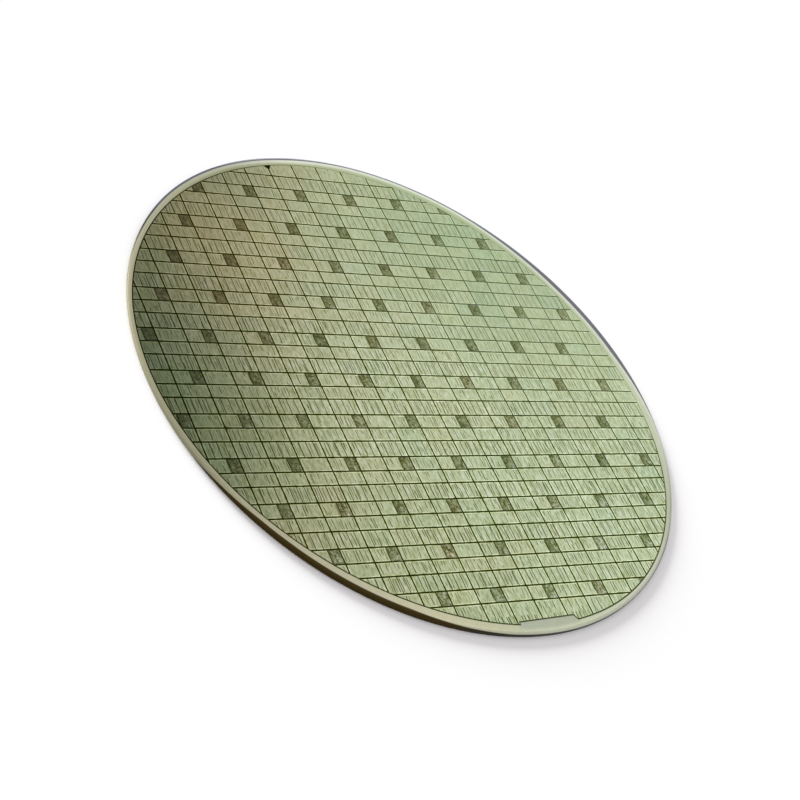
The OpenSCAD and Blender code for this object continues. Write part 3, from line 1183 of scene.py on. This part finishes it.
# %% [markdown]
# ## Floor and light
# The floor is a plain white sheet. The world lights everything evenly, and a low, broad sun from
# the far side gives the soft shadow in front of the disc. Together they light a level surface to
# just about the colour that it is written in. More light would make the background white, but
# would wash out the disc. So the world and the floor turn white only where they are seen, by
# themselves, in a gloss or through glass, and the floor glows there by a touch. Where they only
# give light, they stay as plain as any studio.

# %% Floor
FLOOR_SIDE = 5
FLOOR_GLOW = 0.06


def shown(tree):
    """1 for what is seen by itself, in a gloss or through glass, and 0 where it only gives light."""
    path = add(tree, "LightPath").outputs
    mirrored = calc(tree, "MAXIMUM", path["Is Glossy Ray"], path["Is Transmission Ray"])
    return calc(tree, "MAXIMUM", path["Is Camera Ray"], mirrored)


floor_mesh = bpy.data.meshes.new("floor")
half = FLOOR_SIDE / 2
corners = [(-half, -half, 0), (half, -half, 0), (half, half, 0), (-half, half, 0)]
floor_mesh.from_pydata(corners, [], [(0, 1, 2, 3)])
floor = bpy.data.objects.new("floor", floor_mesh)
bpy.context.scene.collection.objects.link(floor)
material, tree, shader = new_finish("floor_paper", 0.9, 0)
seen = shown(tree)
paper = blend_colours(tree, seen, (0.8, 0.8, 0.8, 1), (1, 1, 1, 1))
tree.links.new(paper, shader.inputs["Base Color"])
tree.links.new(calc(tree, "MULTIPLY", seen, FLOOR_GLOW), shader.inputs["Emission Strength"])
floor_mesh.materials.append(material)
print("floor", FLOOR_SIDE, "m wide")

# %% World
SKY_LIGHT = 0.61
SKY_TONE = (1, 0.965, 0.99, 1)
scene = bpy.context.scene
world = bpy.data.worlds.new("studio")
scene.world = world
world.use_nodes = True
sky = world.node_tree.nodes["Background"]
seen = shown(world.node_tree)
tone = blend_colours(world.node_tree, seen, SKY_TONE, (1, 1, 1, 1))
world.node_tree.links.new(tone, sky.inputs["Color"])
strength = calc(world.node_tree, "MULTIPLY_ADD", seen, 1 - SKY_LIGHT, SKY_LIGHT)
world.node_tree.links.new(strength, sky.inputs["Strength"])
print("the world gives", SKY_LIGHT, "of the light on a level surface")

# %% Low sun, whose strength counts only by the sine of its height on a level surface
LOW_DIRECTION = math.radians(101)
LOW_HEIGHT = math.radians(9)
LOW_SPREAD = math.radians(26)
LOW_SHARE = 0.36
low_light = bpy.data.lights.new("low_light", "SUN")
low_light.color = (0.965, 1, 0.975)
low_light.angle = LOW_SPREAD
low_light.energy = LOW_SHARE * math.pi / math.sin(LOW_HEIGHT)
low_lamp = bpy.data.objects.new("low_light", low_light)
towards = Vector((math.cos(LOW_DIRECTION), math.sin(LOW_DIRECTION), math.tan(LOW_HEIGHT)))
low_lamp.rotation_euler = towards.to_track_quat("Z", "Y").to_euler()
scene.collection.objects.link(low_lamp)
print("the low sun gives", LOW_SHARE, "of it, at a strength of", round(low_light.energy, 2))

# %% Finish
scene.view_settings.view_transform = "Standard"
bpy.context.view_layer.update()
